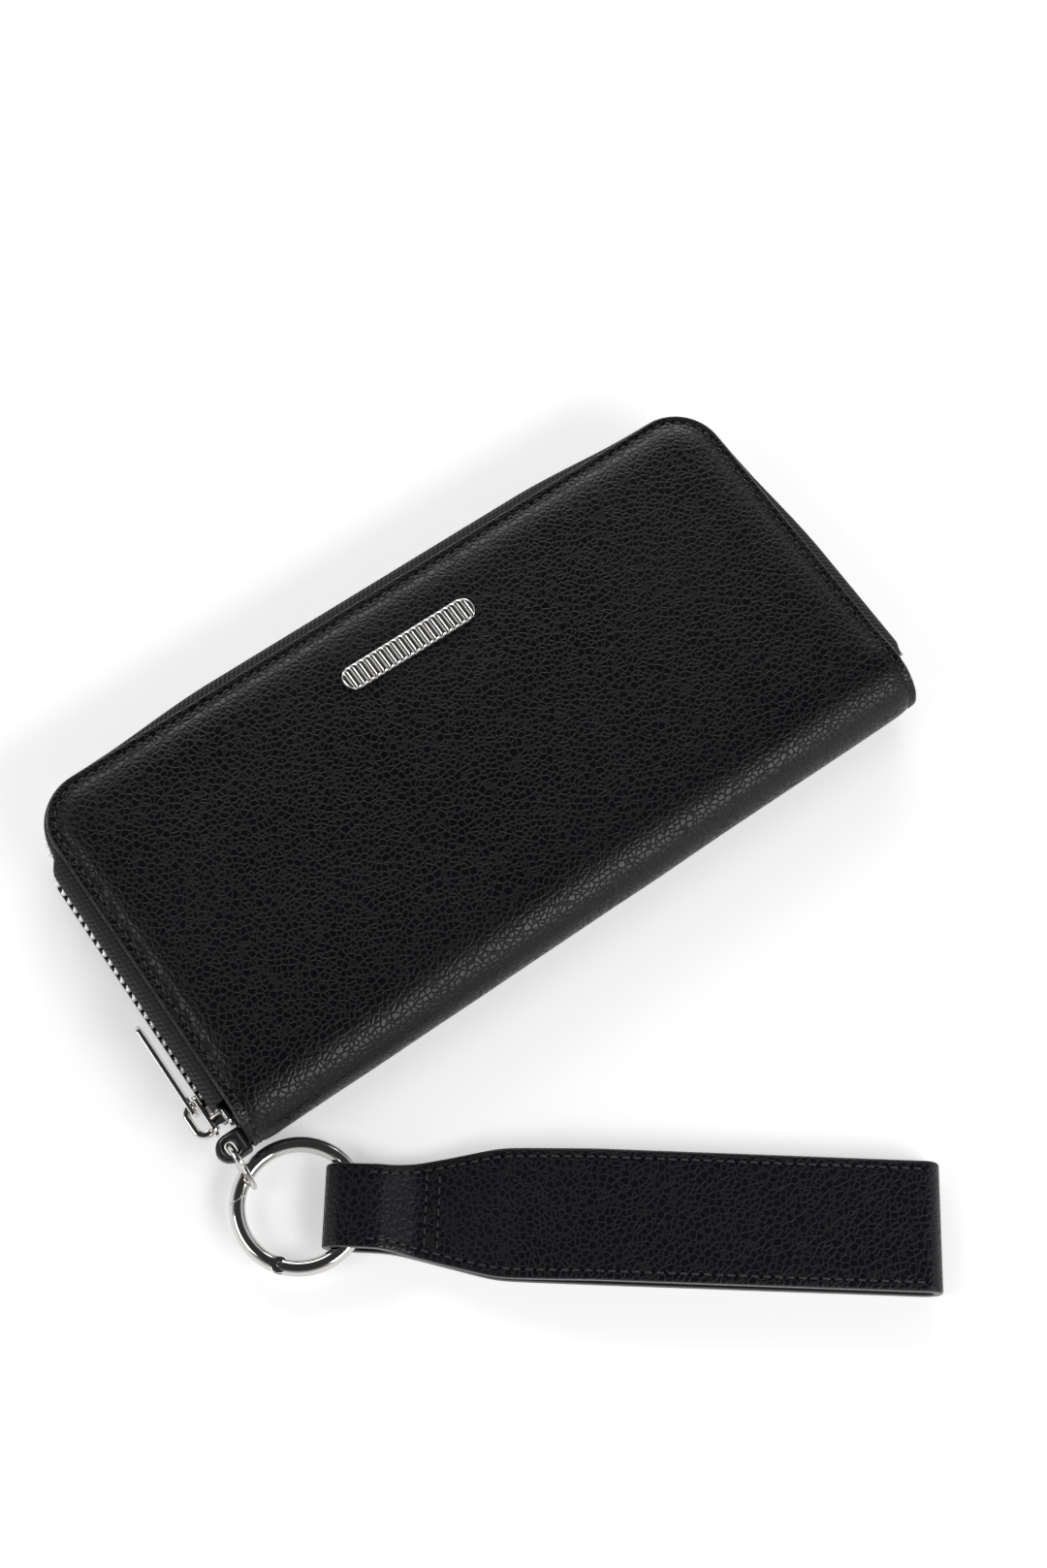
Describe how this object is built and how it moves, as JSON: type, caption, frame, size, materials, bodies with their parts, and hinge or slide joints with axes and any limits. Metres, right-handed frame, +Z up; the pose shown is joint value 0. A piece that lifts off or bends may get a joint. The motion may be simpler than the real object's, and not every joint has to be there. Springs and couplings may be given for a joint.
{
  "type": "wristlet wallet",
  "caption": "Zip-around clutch wallet with card slots, a zipped coin pocket, a spring-gate carry ring and a folded leather wrist strap.",
  "frame": {"origin": "centre of the back cover's resting face", "axes": "+X along the spine away from the carry ring, +Y from the spine to the long zip side, +Z up out of the front cover"},
  "size_m": [0.2139, 0.2179, 0.0232],
  "materials": {
    "grained_leather": "pebbled, semi-matt",
    "smooth_leather": "smooth, matt",
    "lining_cloth": "fine plain weave",
    "thread": "twisted polyester thread",
    "padding": "soft foam sheet",
    "board": "stiff board",
    "zip_tape": "woven twill",
    "nickel_teeth": "bright nickel plate",
    "polished_nickel": "polished nickel plate"
  },
  "bodies": {
    "back_cover": {"back_leather": "grained_leather", "back_foam": "padding", "back_board": "board", "back_lining": "lining_cloth", "back_stitching": "thread", "spine_leather": "grained_leather", "spine_lining": "lining_cloth", "left_tape_end": "zip_tape", "right_tape_end": "zip_tape", "keeper_loop": "grained_leather", "back_zip_tape": "zip_tape", "back_zip_teeth": "nickel_teeth", "back_zip_stops": "nickel_teeth", "back_bill_pocket": "lining_cloth", "back_card_slot_1": "smooth_leather", "back_card_slot_2": "smooth_leather", "back_card_slot_3": "smooth_leather", "back_card_slot_4": "smooth_leather", "left_back_gusset": "lining_cloth", "right_back_gusset": "lining_cloth"},
    "front_cover": {"front_leather": "grained_leather", "front_foam": "padding", "front_board": "board", "front_lining": "lining_cloth", "front_stitching": "thread", "front_zip_tape": "zip_tape", "front_zip_teeth": "nickel_teeth", "front_zip_stops": "nickel_teeth", "front_bill_pocket": "lining_cloth", "front_card_slot_1": "smooth_leather", "front_card_slot_2": "smooth_leather", "front_card_slot_3": "smooth_leather", "front_card_slot_4": "smooth_leather", "left_front_gusset": "lining_cloth", "right_front_gusset": "lining_cloth", "badge_bar": "polished_nickel"},
    "divider": {"coin_pocket": "lining_cloth", "coin_zip_tapes": "zip_tape", "coin_zip_teeth": "nickel_teeth", "left_divider_gusset": "lining_cloth", "right_divider_gusset": "lining_cloth"},
    "coin_slider": {"coin_slider": "polished_nickel"},
    "coin_tab": {"coin_tab": "polished_nickel"},
    "zip_slider": {"zip_slider": "polished_nickel", "slider_bridge": "polished_nickel"},
    "pull_tab": {"pull_tab": "polished_nickel"},
    "oval_link": {"oval_link": "polished_nickel"},
    "carry_ring": {"ring_body": "polished_nickel", "gate_pin": "polished_nickel", "gate_spring": "polished_nickel"},
    "ring_gate": {"ring_gate": "polished_nickel"},
    "wrist_strap": {"strap_leather": "grained_leather", "strap_lining": "smooth_leather", "strap_stitching": "thread"}
  },
  "joints": [
    {"name": "cover_swing", "type": "hinge", "parent": "back_cover", "child": "front_cover", "pos_m": [0, -0.0375, 0.022], "axis": [1, 0, 0], "range_deg": [0, 56]},
    {"name": "divider_swing", "type": "hinge", "parent": "back_cover", "child": "divider", "pos_m": [0, -0.0375, 0.022], "axis": [1, 0, 0], "range_deg": [0, 28]},
    {"name": "coin_slide", "type": "slide", "parent": "divider", "child": "coin_slider", "axis": [1, 0, 0], "range_m": [0, 0.154]},
    {"name": "coin_tab_turn", "type": "hinge", "parent": "coin_slider", "child": "coin_tab", "pos_m": [-0.0767, 0.03465, 0.011], "axis": [0, 0, 1], "range_deg": [0, 60]},
    {"name": "zip_slide", "type": "slide", "parent": "back_cover", "child": "zip_slider", "axis": [0, 1, 0], "range_m": [0, 0.062]},
    {"name": "tab_turn", "type": "hinge", "parent": "zip_slider", "child": "pull_tab", "pos_m": [-0.10435, -0.0343, 0.011], "axis": [0, 0, 1], "range_deg": [0, 120]},
    {"name": "link_swing", "type": "hinge", "parent": "back_cover", "child": "oval_link", "pos_m": [-0.102, -0.048, 0.0095], "axis": [-1, 0, 0], "range_deg": [0, 35]},
    {"name": "ring_swing", "type": "hinge", "parent": "oval_link", "child": "carry_ring", "pos_m": [-0.102, -0.05138, 0.00415], "axis": [-0.903, -0.4296, 0], "range_deg": [0, 40]},
    {"name": "gate_swing", "type": "hinge", "parent": "carry_ring", "child": "ring_gate", "pos_m": [-0.10709, -0.07294, 0.00415], "axis": [0, 0, -1], "range_deg": [0, 18], "stiffness_Nm_per_rad": 0.02, "springref_deg": -11.46},
    {"name": "strap_slide", "type": "hinge", "parent": "carry_ring", "child": "wrist_strap", "pos_m": [-0.0959, -0.0642, 0.00415], "axis": [0, 0, 1], "range_deg": [-35, 22]}
  ],
  "couplings": [
    {"joint": "divider_swing", "follows": "cover_swing", "ratio": 0.5}
  ]
}
